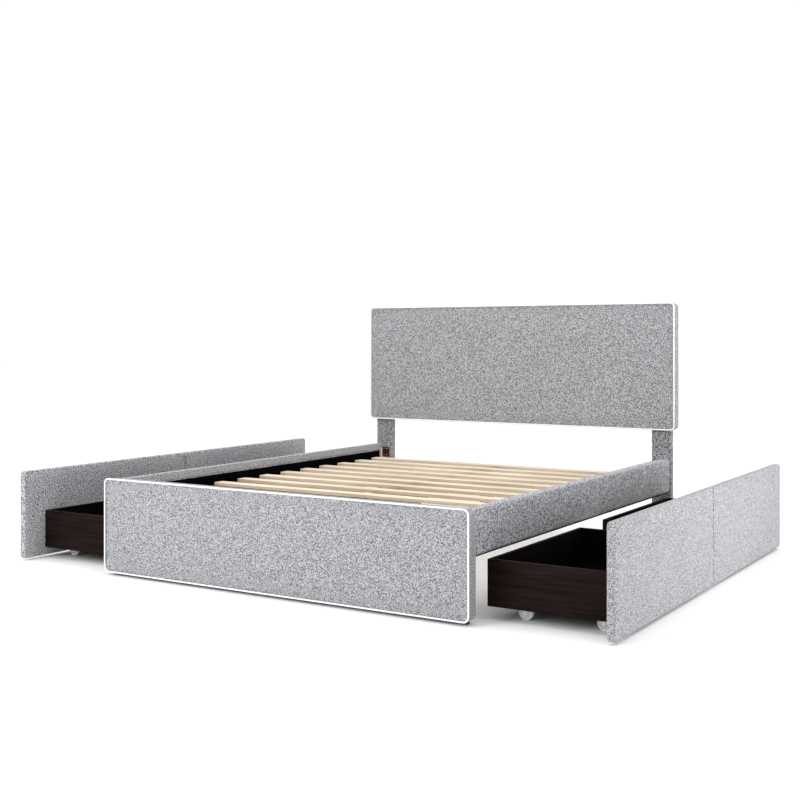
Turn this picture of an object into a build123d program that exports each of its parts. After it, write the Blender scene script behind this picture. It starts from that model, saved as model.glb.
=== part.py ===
from build123d import *
import os

# An upholstered queen platform bed with four storage drawers that roll on casters.
# Millimetres.  X runs across the bed, Y from the foot to the head, and Z up.
# The origin is on the floor, under the foot of the middle leg.
# "Outward" means away from the bed's centre line, to the right for +X.

# ---------------------------------------------------------------- overall sizes
BED_WIDTH = 1640.0              # over the covers of the two side rails
INNER_LENGTH = 2042.0           # from the footboard's back to the headboard's front
FLOOR_GAP = 15.0                # floor to the underside of the footboard, the posts and the legs
SIDE_HEIGHT = 389.0             # floor to the top of the footboard and the rails
HEADBOARD_TOP = 1127.0
HEADBOARD_BOTTOM = 523.0
HEADBOARD_OVERHANG = 22.0       # how far the headboard stands out past each rail

# ---------------------------------------------------------------- panels
FOOTBOARD_THICKNESS = 58.0
HEADBOARD_THICKNESS = 74.0
PIPING_RADIUS = 3.2
PANEL_CORNER = 20.0             # corner radius of both padded panels, seen from the front
PANEL_EDGE = 4.0                # rounding of a panel's long edges
FOOTBOARD_BOARD = 36.0          # board inside the footboard
FOOTBOARD_FRONT_PAD = 14.0      # padding on its front
PANEL_SIDE_PAD = 12.0           # padding round the edges of both panels
HEADBOARD_FRONT_PAD = 22.0
HEADBOARD_BOARD = 8.0           # plywood behind the headboard's padding
HEADBOARD_BACK = 4.0            # backing sheet that closes the headboard
HEADBOARD_BATTEN = 60.0         # height of the timbers inside the headboard
FRAME_LAYER = HEADBOARD_THICKNESS - HEADBOARD_FRONT_PAD - HEADBOARD_BOARD - HEADBOARD_BACK

# ---------------------------------------------------------------- headboard posts
POST_WIDTH = 92.0               # over its cloth sleeve
POST_DEPTH = 40.0
POST_SLEEVE = 2.0               # thickness of the cloth sleeve
POST_SIDE_INSET = 3.0           # from the rail's outer face in to the post's side
SPARE_HOLE_RADIUS = 4.0
SPARE_HOLE_DEPTH = 12.0
SPARE_HOLE_INSET = 26.0         # from the post's inner edge
SPARE_HOLE_DROPS = (124.0, 87.0, 50.0)  # below the headboard

# ---------------------------------------------------------------- side rails
RAIL_HEIGHT = 162.0
RAIL_PAD = 10.0                 # padding outside and on top of the board
RAIL_BOARD = 30.0
RAIL_WRAP = 3.0                 # cloth turned over the top and down the inner face
RAIL_WRAP_DROP = 35.0           # how far it comes down
RAIL_BOARD_SHOW = 4.0           # how far the black board comes down below the cover
RAIL_TOP_ROUND = 9.0            # rounding of the rail's outer long edges
RAIL_END_ROUND = 20.0           # rounding of its corners at the head end
RAIL_END_GAP = 3.0              # from the end of the rail to the post

# ---------------------------------------------------------------- slats and what carries them
SLAT_COUNT = 12
SLAT_WIDTH = 60.0
SLAT_THICKNESS = 15.0
SLAT_ROUND = 2.0                # rounding of its long edges
SLAT_END_GAP = 38.0             # from its end to the rail
SLAT_DROP = 69.0                # top of the rail down to the top of the slats
FIRST_SLAT = 80.0               # footboard's back to the middle of the first slat
LAST_SLAT = 124.0               # middle of the last slat to the headboard's front
LEDGE_WIDTH = 70.0
LEDGE_HEIGHT = 30.0
BEAM_WIDTH = 50.0
BEAM_HEIGHT = 60.0
BEAM_END_GAP = 8.0
LEG_SIZE = 50.0
LEG_SPACING = 735.0             # between the middles of the three legs
GLIDE_RADIUS = 17.0
GLIDE_CHAMFER = 2.0
RUNNER_DEPTH = 20.0             # black runner that the footboard stands on
RUNNER_SETBACK = 36.0           # front of the footboard back to the runner
RUNNER_END_INSET = 22.0         # end of the footboard to the runner's end
RUNNER_ROUND = 3.0

# ---------------------------------------------------------------- corner brackets
BLOCK_THICKNESS = 12.0          # raw timber block at each end of a rail
BLOCK_LENGTH = 37.0
BLOCK_DROP = 28.0               # top of the rail down to the top of the block
BRACKET_LEG = 28.0
BRACKET_HEIGHT = 50.0
BRACKET_DROP = 25.0             # top of the rail down to the top of the bracket
BRACKET_PLATE = 3.0
SCREW_HEAD_RADIUS = 4.2
SCREW_HEAD_HEIGHT = 2.0
SCREW_RADIUS = 2.0
SCREW_REACH = 9.0               # how far it goes into the timber
SCREW_PITCH = 34.0              # between the two screws of a leg

# ---------------------------------------------------------------- drawers
FRONT_THICKNESS = 33.0
FRONT_DROP = 4.0                # top of the rail down to the top of the drawer fronts
FRONT_FLOOR_GAP = 11.0          # air under the drawer fronts
FRONT_START = 26.0              # bed's foot end to the first drawer front
FRONT_END = 18.0                # last drawer front to the bed's head end
FRONT_SEAM = 6.0                # between the two fronts of a side
FRONT_BOARD = 18.0
FRONT_PAD_ENDS = 8.0            # padding over the board's ends and top
FRONT_CORNER = 16.0             # outer corners of a pair of fronts
SEAM_CORNER = 6.0               # corners beside the seam
FRONT_EDGE = 5.0                # rounding of a front's long edges
CLOSED_GAP = 3.0                # rail to drawer front when the drawer is shut
BOX_DEPTH = 462.0
BOX_NEAR_INSET = 116.0          # near end of the front to the box
BOX_FAR_INSET = 115.5           # box to the far end of the front
HEAD_BOX_SHIFT = 14.0           # head drawer's box sits this much nearer the head
BOX_RAIL_GAP = 20.0             # top of the box up to the rail
WHEEL_TOP_GAP = 8.0             # top of a wheel up to the bottom panel
BOX_WALL = 15.0
BOX_PANEL = 9.0                 # bottom panel
BOX_PANEL_RISE = 12.0           # underside of the walls up to the bottom panel
GROOVE_DEPTH = 5.0
RIGHT_PULL = 459.0              # how far each pair of drawers stands open at rest
LEFT_PULL = 490.0

# ---------------------------------------------------------------- casters
WHEEL_RADIUS = 25.0
WHEEL_WIDTH = 16.0
WHEEL_RIM = 5.0                 # depth of the tread ring
WHEEL_WEB = 4.0
WHEEL_HUB_RADIUS = 7.0
WHEEL_RIBS = 12
RIB_THICKNESS = 2.0
RIB_LENGTH_OVERLAP = 0.5        # a rib runs this far into the hub and the rim
TREAD_ROUND = 2.0
AXLE_RADIUS = 3.0
AXLE_CLEARANCE = 0.05           # radial, wheel on axle
AXLE_HEAD_RADIUS = 4.2
AXLE_HEAD_HEIGHT = 1.5
CHEEK_THICKNESS = 2.5
CHEEK_GAP = 1.0                 # wheel's side to the cheek
CHEEK_RADIUS = 6.5              # round end of a cheek, about the axle
CHEEK_TOP_WIDTH = 30.0
CHEEK_TOP_STRIP = 0.02          # height of the strip that the cheek's outline runs up to
CASTER_PLATE = 3.0
CASTER_PLATE_CORNER = 4.0
CASTER_PLATE_LENGTH = 44.0
CASTER_PLATE_WIDTH = 36.0
CASTER_FRONT_INSET = 71.0       # drawer front's inner face to the outer axle
CASTER_BACK_INSET = 113.0       # back of the box to the inner axle
CASTER_NEAR_INSET = 72.0        # near end of a right drawer's box to a caster's middle
CASTER_FAR_INSET = 110.0        # the same at its far end; a left drawer is the other way round

# ---------------------------------------------------------------- places worked out from the sizes
BED_LENGTH = FOOTBOARD_THICKNESS + INNER_LENGTH + HEADBOARD_THICKNESS
FOOT = -BED_LENGTH / 2                                  # front of the footboard
FOOT_INNER = FOOT + FOOTBOARD_THICKNESS
HEAD_INNER = FOOT_INNER + INNER_LENGTH                  # front of the headboard
HEAD = HEAD_INNER + HEADBOARD_THICKNESS
HALF_WIDTH = BED_WIDTH / 2
FRAME_FRONT = HEAD_INNER + HEADBOARD_FRONT_PAD + HEADBOARD_BOARD
FRAME_BACK = FRAME_FRONT + FRAME_LAYER
POST_FRONT = FRAME_FRONT
POST_OUTER = HALF_WIDTH - POST_SIDE_INSET
POST_INNER = POST_OUTER - POST_WIDTH
RAIL_INNER = HALF_WIDTH - RAIL_PAD - RAIL_BOARD         # bare inner face of the rail board
RAIL_BOTTOM = SIDE_HEIGHT - RAIL_HEIGHT
RAIL_END = POST_FRONT - RAIL_END_GAP
BRACKET_TOP = SIDE_HEIGHT - BRACKET_DROP
WRAP_BOTTOM = SIDE_HEIGHT - RAIL_WRAP_DROP
SLAT_TOP = SIDE_HEIGHT - SLAT_DROP
SLAT_UNDERSIDE = SLAT_TOP - SLAT_THICKNESS
BLOCK_FACE = RAIL_INNER - BLOCK_THICKNESS
BLOCK_TOP = SIDE_HEIGHT - BLOCK_DROP
BRACKET_BOTTOM = BRACKET_TOP - BRACKET_HEIGHT
CLOSED_FACE = HALF_WIDTH + CLOSED_GAP                   # inner face of a shut drawer front
FRONT_TOP = SIDE_HEIGHT - FRONT_DROP
FRONT_LENGTH = (BED_LENGTH - FRONT_START - FRONT_SEAM - FRONT_END) / 2
BOX_TOP = RAIL_BOTTOM - BOX_RAIL_GAP
BOX_LENGTH = FRONT_LENGTH - BOX_NEAR_INSET - BOX_FAR_INSET
PANEL_UNDERSIDE = 2 * WHEEL_RADIUS + WHEEL_TOP_GAP
BOX_UNDERSIDE = PANEL_UNDERSIDE - BOX_PANEL_RISE
CHEEK_INNER = WHEEL_WIDTH / 2 + CHEEK_GAP
CHEEK_OUTER = CHEEK_INNER + CHEEK_THICKNESS


# ---------------------------------------------------------------- small helpers
def block(x0, x1, y0, y1, z0, z1):
    """A square-edged board between two opposite corners."""
    return Pos((x0 + x1) / 2, (y0 + y1) / 2, (z0 + z1) / 2) * Box(x1 - x0, y1 - y0, z1 - z0)


def rod(centre, axis, radius, length):
    """A round bar about an axis, from its centre point."""
    turn = {"X": Rotation(0, 90, 0), "Y": Rotation(90, 0, 0), "Z": Rotation(0, 0, 0)}[axis]
    return Pos(*centre) * turn * Cylinder(radius, length)


def group(shapes):
    """Separate solids kept side by side in one node."""
    return Compound([solid for shape in shapes for solid in shape.solids()])


def both_sides(shape):
    """The shape's solids and their mirror images across the bed."""
    return group([shape, shape.mirror(Plane.YZ)])


def edges_across(shape, nearer=None, beyond=None):
    """Edges that run across the bed, on one side of a place along it."""
    edges = shape.edges().filter_by(Axis.X)
    if nearer is not None:
        return edges.filter_by(lambda edge: edge.center().Y < nearer)
    return edges.filter_by(lambda edge: edge.center().Y > beyond)


def padded_panel(half_width, front, back, bottom, top):
    """A padded panel's outer form: round corners and softly rounded long edges."""
    form = block(-half_width, half_width, front, back, bottom, top)
    form = fillet(form.edges().filter_by(Axis.Y), PANEL_CORNER)
    rim = form.faces().sort_by(Axis.Y)[0].edges() + form.faces().sort_by(Axis.Y)[-1].edges()
    return fillet(rim, PANEL_EDGE)


def piping_ring(half_width, front, bottom, top):
    """A round cord sewn along the front edge of a padded panel."""
    outline = RectangleRounded(2 * half_width, top - bottom, PANEL_CORNER)
    path = (Pos(0, front, (bottom + top) / 2) * Rotation(90, 0, 0) * outline).wire()
    section = Pos(0, front, top) * Rotation(0, 90, 0) * Circle(PIPING_RADIUS)
    return sweep(section, path=path)


# ---------------------------------------------------------------- headboard
def headboard():
    half = HALF_WIDTH + HEADBOARD_OVERHANG
    inner_half = half - PANEL_SIDE_PAD
    low = HEADBOARD_BOTTOM + PANEL_SIDE_PAD
    high = HEADBOARD_TOP - PANEL_SIDE_PAD
    board_front = HEAD_INNER + HEADBOARD_FRONT_PAD
    post_top = high - HEADBOARD_BATTEN
    core = POST_INNER + POST_SLEEVE, POST_OUTER - POST_SLEEVE
    core_y = POST_FRONT + POST_SLEEVE, POST_FRONT + POST_DEPTH - POST_SLEEVE

    posts = block(*core, *core_y, FLOOR_GAP, post_top)
    sleeves = block(POST_INNER, POST_OUTER, POST_FRONT, POST_FRONT + POST_DEPTH,
                    FLOOR_GAP, HEADBOARD_BOTTOM) - posts
    for drop in SPARE_HOLE_DROPS:
        hole = rod((POST_INNER + SPARE_HOLE_INSET, POST_FRONT, HEADBOARD_BOTTOM - drop), "Y",
                   SPARE_HOLE_RADIUS, 2 * SPARE_HOLE_DEPTH)
        posts -= hole
        sleeves -= hole

    piping = piping_ring(half, HEAD_INNER, HEADBOARD_BOTTOM, HEADBOARD_TOP)
    cover = padded_panel(half, HEAD_INNER, HEAD, HEADBOARD_BOTTOM, HEADBOARD_TOP)
    cover -= block(-inner_half, inner_half, board_front, HEAD, low, high)
    cover -= piping
    for side in (1, -1):
        ends = sorted((side * core[0], side * core[1]))
        cover -= block(*ends, *core_y, HEADBOARD_BOTTOM, low)

    upright = (-HEADBOARD_BATTEN / 2, HEADBOARD_BATTEN / 2)
    timbers = [
        block(-core[0], core[0], FRAME_FRONT, FRAME_BACK, low, low + HEADBOARD_BATTEN),
        block(-inner_half, inner_half, FRAME_FRONT, FRAME_BACK, post_top, high),
        block(*upright, FRAME_FRONT, FRAME_BACK, low + HEADBOARD_BATTEN, post_top),
        block(core[1], inner_half, FRAME_FRONT, FRAME_BACK, low, post_top),
        block(-inner_half, -core[1], FRAME_FRONT, FRAME_BACK, low, post_top),
    ]
    return {
        "headboard_board": block(-inner_half, inner_half, board_front, FRAME_FRONT, low, high),
        "headboard_frame": group(timbers),
        "headboard_back": block(-inner_half, inner_half, FRAME_BACK, HEAD, low, high),
        "headboard_cover": cover,
        "headboard_piping": piping,
        "headboard_posts": posts,
        "post_covers": sleeves,
    }


# ---------------------------------------------------------------- footboard
def footboard():
    board_front = FOOT + FOOTBOARD_FRONT_PAD
    board = block(PANEL_SIDE_PAD - HALF_WIDTH, HALF_WIDTH - PANEL_SIDE_PAD,
                  board_front, board_front + FOOTBOARD_BOARD,
                  FLOOR_GAP, SIDE_HEIGHT - PANEL_SIDE_PAD)
    piping = piping_ring(HALF_WIDTH, FOOT, FLOOR_GAP, SIDE_HEIGHT)
    cover = padded_panel(HALF_WIDTH, FOOT, FOOT_INNER, FLOOR_GAP, SIDE_HEIGHT)
    return {
        "footboard_board": board,
        "footboard_cover": cover - board - piping,
        "footboard_piping": piping,
    }


# ---------------------------------------------------------------- side rails
def side_rails():
    board = block(RAIL_INNER, RAIL_INNER + RAIL_BOARD, FOOT_INNER, RAIL_END - RAIL_PAD,
                  RAIL_BOTTOM - RAIL_BOARD_SHOW, SIDE_HEIGHT - RAIL_PAD)
    cover = block(RAIL_INNER - RAIL_WRAP, HALF_WIDTH, FOOT_INNER, RAIL_END, RAIL_BOTTOM, SIDE_HEIGHT)
    middle = (FOOT_INNER + RAIL_END) / 2
    cover = fillet(edges_across(cover, beyond=middle), RAIL_END_ROUND)
    outer_face = cover.faces().sort_by(Axis.X)[-1]
    outer_rim = outer_face.edges().sort_by(Axis.Y)[1:]      # all but the edge at the footboard
    cover = fillet(outer_rim, RAIL_TOP_ROUND)
    cover -= board
    cover -= block(RAIL_INNER - RAIL_WRAP, RAIL_INNER, FOOT_INNER, RAIL_END, RAIL_BOTTOM, WRAP_BOTTOM)
    ends = ((FOOT_INNER, FOOT_INNER + BLOCK_LENGTH), (POST_FRONT - BLOCK_LENGTH, POST_FRONT))
    blocks = [block(BLOCK_FACE, RAIL_INNER, *end, RAIL_BOTTOM, BLOCK_TOP) for end in ends]
    for piece in blocks:
        cover -= piece
    return board, cover, blocks


# ---------------------------------------------------------------- brackets and their screws
def brackets():
    """Two angle brackets of the right rail, their screws, and the holes that the screws fill."""
    angles, screws, shanks = [], [], []
    middle = (BRACKET_BOTTOM + BRACKET_TOP) / 2
    for wall, inward in ((FOOT_INNER, 1), (POST_FRONT, -1)):
        near, far = sorted((wall, wall + inward * BRACKET_PLATE))
        wall_leg = block(BLOCK_FACE - BRACKET_LEG, BLOCK_FACE, near, far, BRACKET_BOTTOM, BRACKET_TOP)
        start, end = sorted((wall, wall + inward * BRACKET_LEG))
        rail_leg = block(BLOCK_FACE - BRACKET_PLATE, BLOCK_FACE, start, end,
                         BRACKET_BOTTOM, BRACKET_TOP)
        angle = wall_leg + rail_leg
        across = BLOCK_FACE - (BRACKET_LEG + BRACKET_PLATE) / 2
        along = wall + inward * (BRACKET_LEG + BRACKET_PLATE) / 2
        shank_length = SCREW_REACH + BRACKET_PLATE
        for height in (middle - SCREW_PITCH / 2, middle + SCREW_PITCH / 2):
            seat = wall + inward * BRACKET_PLATE
            shank = rod((across, seat - inward * shank_length / 2, height), "Y",
                        SCREW_RADIUS, shank_length)
            head = rod((across, seat + inward * SCREW_HEAD_HEIGHT / 2, height), "Y",
                       SCREW_HEAD_RADIUS, SCREW_HEAD_HEIGHT)
            screws.append(shank + head)
            shanks.append(shank)
            seat = BLOCK_FACE - BRACKET_PLATE
            shank = rod((seat + shank_length / 2, along, height), "X", SCREW_RADIUS, shank_length)
            head = rod((seat - SCREW_HEAD_HEIGHT / 2, along, height), "X",
                       SCREW_HEAD_RADIUS, SCREW_HEAD_HEIGHT)
            screws.append(shank + head)
            shanks.append(shank)
        angles.append(angle)
    return angles, screws, shanks


# ---------------------------------------------------------------- slats and what carries them
def slat_deck():
    first = FOOT_INNER + FIRST_SLAT
    pitch = (HEAD_INNER - LAST_SLAT - first) / (SLAT_COUNT - 1)
    slat_reach = RAIL_INNER - SLAT_END_GAP
    slats = []
    for number in range(SLAT_COUNT):
        middle = first + number * pitch
        slat = block(-slat_reach, slat_reach, middle - SLAT_WIDTH / 2, middle + SLAT_WIDTH / 2,
                     SLAT_UNDERSIDE, SLAT_TOP)
        slats.append(fillet(slat.edges().filter_by(Axis.X), SLAT_ROUND))
    ledge_ends = (FOOT_INNER + BLOCK_LENGTH, POST_FRONT - BLOCK_LENGTH)
    ledge = block(RAIL_INNER - LEDGE_WIDTH, RAIL_INNER, *ledge_ends,
                  SLAT_UNDERSIDE - LEDGE_HEIGHT, SLAT_UNDERSIDE)
    beam_bottom = SLAT_UNDERSIDE - BEAM_HEIGHT
    beam = block(-BEAM_WIDTH / 2, BEAM_WIDTH / 2, FOOT_INNER + BEAM_END_GAP, HEAD_INNER - BEAM_END_GAP,
                 beam_bottom, SLAT_UNDERSIDE)
    leg_places = [step * LEG_SPACING for step in (-1, 0, 1)]
    legs = [block(-LEG_SIZE / 2, LEG_SIZE / 2, place - LEG_SIZE / 2, place + LEG_SIZE / 2,
                  FLOOR_GAP, beam_bottom) for place in leg_places]
    return slats, ledge, beam, legs, leg_places


def glides(leg_places):
    """Round plastic feet under the posts and the legs."""
    post_x = (POST_INNER + POST_OUTER) / 2
    post_y = POST_FRONT + POST_DEPTH / 2
    places = [(-post_x, post_y), (post_x, post_y)] + [(0, place) for place in leg_places]
    feet = []
    for x, y in places:
        foot = rod((x, y, FLOOR_GAP / 2), "Z", GLIDE_RADIUS, FLOOR_GAP)
        feet.append(chamfer(foot.edges().sort_by(Axis.Z)[0], GLIDE_CHAMFER))
    return feet


def foot_runner():
    """The black runner under the footboard, set back out of sight."""
    reach = HALF_WIDTH - RUNNER_END_INSET
    front = FOOT + RUNNER_SETBACK
    runner = block(-reach, reach, front, front + RUNNER_DEPTH, 0, FLOOR_GAP)
    return fillet(runner.edges().filter_by(Axis.Z), RUNNER_ROUND)


# ---------------------------------------------------------------- drawers
def wheel():
    """A caster wheel about the Y axis: tread ring, thin web, hub and ribs on both faces."""
    ring = Rotation(90, 0, 0) * Cylinder(WHEEL_RADIUS, WHEEL_WIDTH)
    ring = fillet(ring.edges().filter_by(GeomType.CIRCLE), TREAD_ROUND)
    ring -= Rotation(90, 0, 0) * Cylinder(WHEEL_RADIUS - WHEEL_RIM, WHEEL_WIDTH)
    web = Rotation(90, 0, 0) * Cylinder(WHEEL_RADIUS - WHEEL_RIM + RIB_LENGTH_OVERLAP, WHEEL_WEB)
    hub = Rotation(90, 0, 0) * Cylinder(WHEEL_HUB_RADIUS, WHEEL_WIDTH)
    rib_start = WHEEL_HUB_RADIUS - RIB_LENGTH_OVERLAP
    rib_end = WHEEL_RADIUS - WHEEL_RIM + RIB_LENGTH_OVERLAP
    rib_width = WHEEL_WIDTH - 2 * TREAD_ROUND
    rib = block(rib_start, rib_end, -rib_width / 2, rib_width / 2, -RIB_THICKNESS / 2, RIB_THICKNESS / 2)
    form = ring + web + hub
    for number in range(WHEEL_RIBS):
        form += Rotation(0, 360.0 * number / WHEEL_RIBS, 0) * rib
    return form - Rotation(90, 0, 0) * Cylinder(AXLE_RADIUS + AXLE_CLEARANCE, WHEEL_WIDTH)


def caster_frame():
    """A top plate and two cheeks that hold the axle, about a wheel centre at the origin."""
    top = PANEL_UNDERSIDE - WHEEL_RADIUS
    plate = block(-CASTER_PLATE_LENGTH / 2, CASTER_PLATE_LENGTH / 2, -CASTER_PLATE_WIDTH / 2,
                  CASTER_PLATE_WIDTH / 2, top - CASTER_PLATE, top)
    plate = fillet(plate.edges().filter_by(Axis.Z), CASTER_PLATE_CORNER)
    outline = make_hull([
        *Circle(CHEEK_RADIUS).edges(),
        *(Pos(0, top - CASTER_PLATE) * Rectangle(CHEEK_TOP_WIDTH, CHEEK_TOP_STRIP)).edges(),
    ])
    cheek = extrude(Plane.XZ * outline, CHEEK_THICKNESS)
    near = Pos(0, CHEEK_OUTER, 0) * cheek
    near -= rod((0, 0, 0), "Y", AXLE_RADIUS, 2 * CHEEK_OUTER)
    return plate + near + near.mirror(Plane.XZ)


def caster_axle():
    """A riveted steel axle with a head outside each cheek."""
    shaft = rod((0, 0, 0), "Y", AXLE_RADIUS, 2 * CHEEK_OUTER)
    for side in (1, -1):
        shaft += rod((0, side * (CHEEK_OUTER + AXLE_HEAD_HEIGHT / 2), 0), "Y",
                     AXLE_HEAD_RADIUS, AXLE_HEAD_HEIGHT)
    return shaft


def drawer(front_start, box_start, rounded_end, pull, side, caster):
    """One drawer of the right side, pulled out; side -1 mirrors it to the left."""
    inner = CLOSED_FACE + pull
    outer = inner + FRONT_THICKNESS
    front_end = front_start + FRONT_LENGTH
    box_end = box_start + BOX_LENGTH
    back = inner - BOX_DEPTH

    front = block(inner, outer, front_start, front_end, FRONT_FLOOR_GAP, FRONT_TOP)
    middle = (front_start + front_end) / 2
    foot_corner, head_corner = ((FRONT_CORNER, SEAM_CORNER) if rounded_end == "foot"
                                else (SEAM_CORNER, FRONT_CORNER))
    front = fillet(edges_across(front, nearer=middle), foot_corner)
    front = fillet(edges_across(front, beyond=middle), head_corner)
    rim = front.faces().sort_by(Axis.X)[0].edges() + front.faces().sort_by(Axis.X)[-1].edges()
    front = fillet(rim, FRONT_EDGE)
    pad = (FRONT_THICKNESS - FRONT_BOARD) / 2
    board = block(inner + pad, outer - pad, front_start + FRONT_PAD_ENDS, front_end - FRONT_PAD_ENDS,
                  FRONT_FLOOR_GAP, FRONT_TOP - FRONT_PAD_ENDS)
    board = fillet(board.edges().filter_by(Axis.X), FRONT_CORNER - FRONT_PAD_ENDS)
    cover = front - board

    panel = block(back + BOX_WALL - GROOVE_DEPTH, inner - BOX_WALL + GROOVE_DEPTH,
                  box_start + BOX_WALL - GROOVE_DEPTH, box_end - BOX_WALL + GROOVE_DEPTH,
                  PANEL_UNDERSIDE, PANEL_UNDERSIDE + BOX_PANEL)
    inside = (box_start + BOX_WALL, box_end - BOX_WALL)
    walls = [
        block(back, inner, box_start, inside[0], BOX_UNDERSIDE, BOX_TOP),
        block(back, inner, inside[1], box_end, BOX_UNDERSIDE, BOX_TOP),
        block(back, back + BOX_WALL, *inside, BOX_UNDERSIDE, BOX_TOP),
        block(inner - BOX_WALL, inner, *inside, BOX_UNDERSIDE, BOX_TOP),
    ]
    walls = [wall - panel for wall in walls]

    wheels, frames, axles = {}, [], []
    near, far = CASTER_NEAR_INSET, CASTER_FAR_INSET
    if side < 0:                # a left drawer is a right one turned half round
        near, far = far, near
    for reach, x in (("inner", back + CASTER_BACK_INSET), ("outer", inner - CASTER_FRONT_INSET)):
        for end, y in (("near", box_start + near), ("far", box_end - far)):
            place = Pos(x, y, WHEEL_RADIUS)
            wheels[f"wheel_{reach}_{end}"] = place * caster["wheel"]
            frames.append(place * caster["frame"])
            axles.append(place * caster["axle"])

    pieces = {
        "front_board": board,
        "front_cover": cover,
        "box_walls": group(walls),
        "box_bottom": panel,
        "caster_frames": group(frames),
        "caster_axles": group(axles),
        **wheels,
    }
    if side < 0:
        pieces = {name: piece.mirror(Plane.YZ) for name, piece in pieces.items()}
    return pieces


def drawers():
    """The four drawers, each a set of nodes named after its side and end."""
    nodes = {}
    caster = {"wheel": wheel(), "frame": caster_frame(), "axle": caster_axle()}
    foot_front = FOOT + FRONT_START
    head_front = foot_front + FRONT_LENGTH + FRONT_SEAM
    places = {
        "foot": (foot_front, foot_front + BOX_NEAR_INSET),
        "head": (head_front, head_front + BOX_NEAR_INSET + HEAD_BOX_SHIFT),
    }
    for side_name, side, pull in (("right", 1, RIGHT_PULL), ("left", -1, LEFT_PULL)):
        for end, (front_start, box_start) in places.items():
            pieces = drawer(front_start, box_start, end, pull, side, caster)
            for name, piece in pieces.items():
                nodes[f"{side_name}_{end}_{name}"] = piece
    return nodes


# ---------------------------------------------------------------- the whole bed
def bed():
    """Every node of the bed by name."""
    nodes = {**headboard(), **footboard()}
    board, cover, blocks = side_rails()
    angles, screws, shanks = brackets()
    slats, ledge, beam, legs, leg_places = slat_deck()

    for shank in shanks:
        if shank.center().Y > 0:
            nodes["headboard_posts"] -= shank
            nodes["post_covers"] -= shank
        else:
            for node in ("footboard_cover", "footboard_board"):
                nodes[node] -= shank
                nodes[node] -= shank.mirror(Plane.YZ)
        blocks = [piece - shank for piece in blocks]
        angles = [piece - shank for piece in angles]

    nodes["headboard_posts"] = both_sides(nodes["headboard_posts"])
    nodes["post_covers"] = both_sides(nodes["post_covers"])
    nodes["side_rail_boards"] = both_sides(board)
    nodes["side_rail_covers"] = both_sides(cover)
    nodes["rail_end_blocks"] = both_sides(group(blocks))
    nodes["corner_brackets"] = both_sides(group(angles))
    nodes["bracket_screws"] = both_sides(group(screws))
    nodes["slat_ledges"] = both_sides(ledge)
    nodes["slats"] = group(slats)
    nodes["centre_beam"] = beam
    nodes["centre_legs"] = group(legs)
    nodes["floor_glides"] = group([foot_runner(), *glides(leg_places)])
    return {**nodes, **drawers()}


os.makedirs("parts", exist_ok=True)
for node, shape in bed().items():
    shape.label = node
    export_step(shape, os.path.join("parts", f"{node}.step"))
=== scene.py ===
import logging
import math
from dataclasses import dataclass, field
from enum import Enum
from typing import Callable, Iterable

import bmesh
import bpy
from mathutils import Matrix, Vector


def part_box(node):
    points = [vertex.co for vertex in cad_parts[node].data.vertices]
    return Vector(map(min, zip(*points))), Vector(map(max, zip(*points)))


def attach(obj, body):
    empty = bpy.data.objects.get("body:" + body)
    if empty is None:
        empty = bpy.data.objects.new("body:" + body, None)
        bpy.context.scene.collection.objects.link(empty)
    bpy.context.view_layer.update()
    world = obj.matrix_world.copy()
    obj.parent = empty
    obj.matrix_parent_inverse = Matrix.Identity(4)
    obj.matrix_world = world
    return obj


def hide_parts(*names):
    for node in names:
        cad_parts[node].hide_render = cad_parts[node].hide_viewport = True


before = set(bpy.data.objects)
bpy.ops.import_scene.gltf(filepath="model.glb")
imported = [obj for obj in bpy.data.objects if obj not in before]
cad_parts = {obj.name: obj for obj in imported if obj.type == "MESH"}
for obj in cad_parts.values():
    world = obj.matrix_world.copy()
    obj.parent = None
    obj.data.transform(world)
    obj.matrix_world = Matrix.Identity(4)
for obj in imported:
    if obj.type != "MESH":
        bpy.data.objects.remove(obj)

log = logging.getLogger("bed")

Point = tuple[float, float, float]
FRAME_BODY = "bed_frame"
DRAWERS = ("right_foot", "right_head", "left_foot", "left_head")
EPS = 1e-4                      # two places closer than this are the same place
SWELL_FRAMES = 20               # steps of the padding simulation
SWELL_PRESSURE = 4.0            # push of the foam against the cloth
SWELL_QUALITY = 4               # solver steps in each of them
SMOOTH_STEPS = 4                # evens out the small folds that the simulation leaves
RIPPLE_LENGTH = 0.11            # length of the waves in the cloth over a panel
CORNER_STEPS = 6                # strips across a rounded corner
CORD_CELL = 0.03                # length of a straight piece of a piping cord
UPRIGHT = 0.5                   # a face whose normal rises less than this stands upright


class Axis(Enum):
    """An axis of the bed's frame, by its number in a vector."""

    X = 0
    Y = 1
    Z = 2


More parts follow.
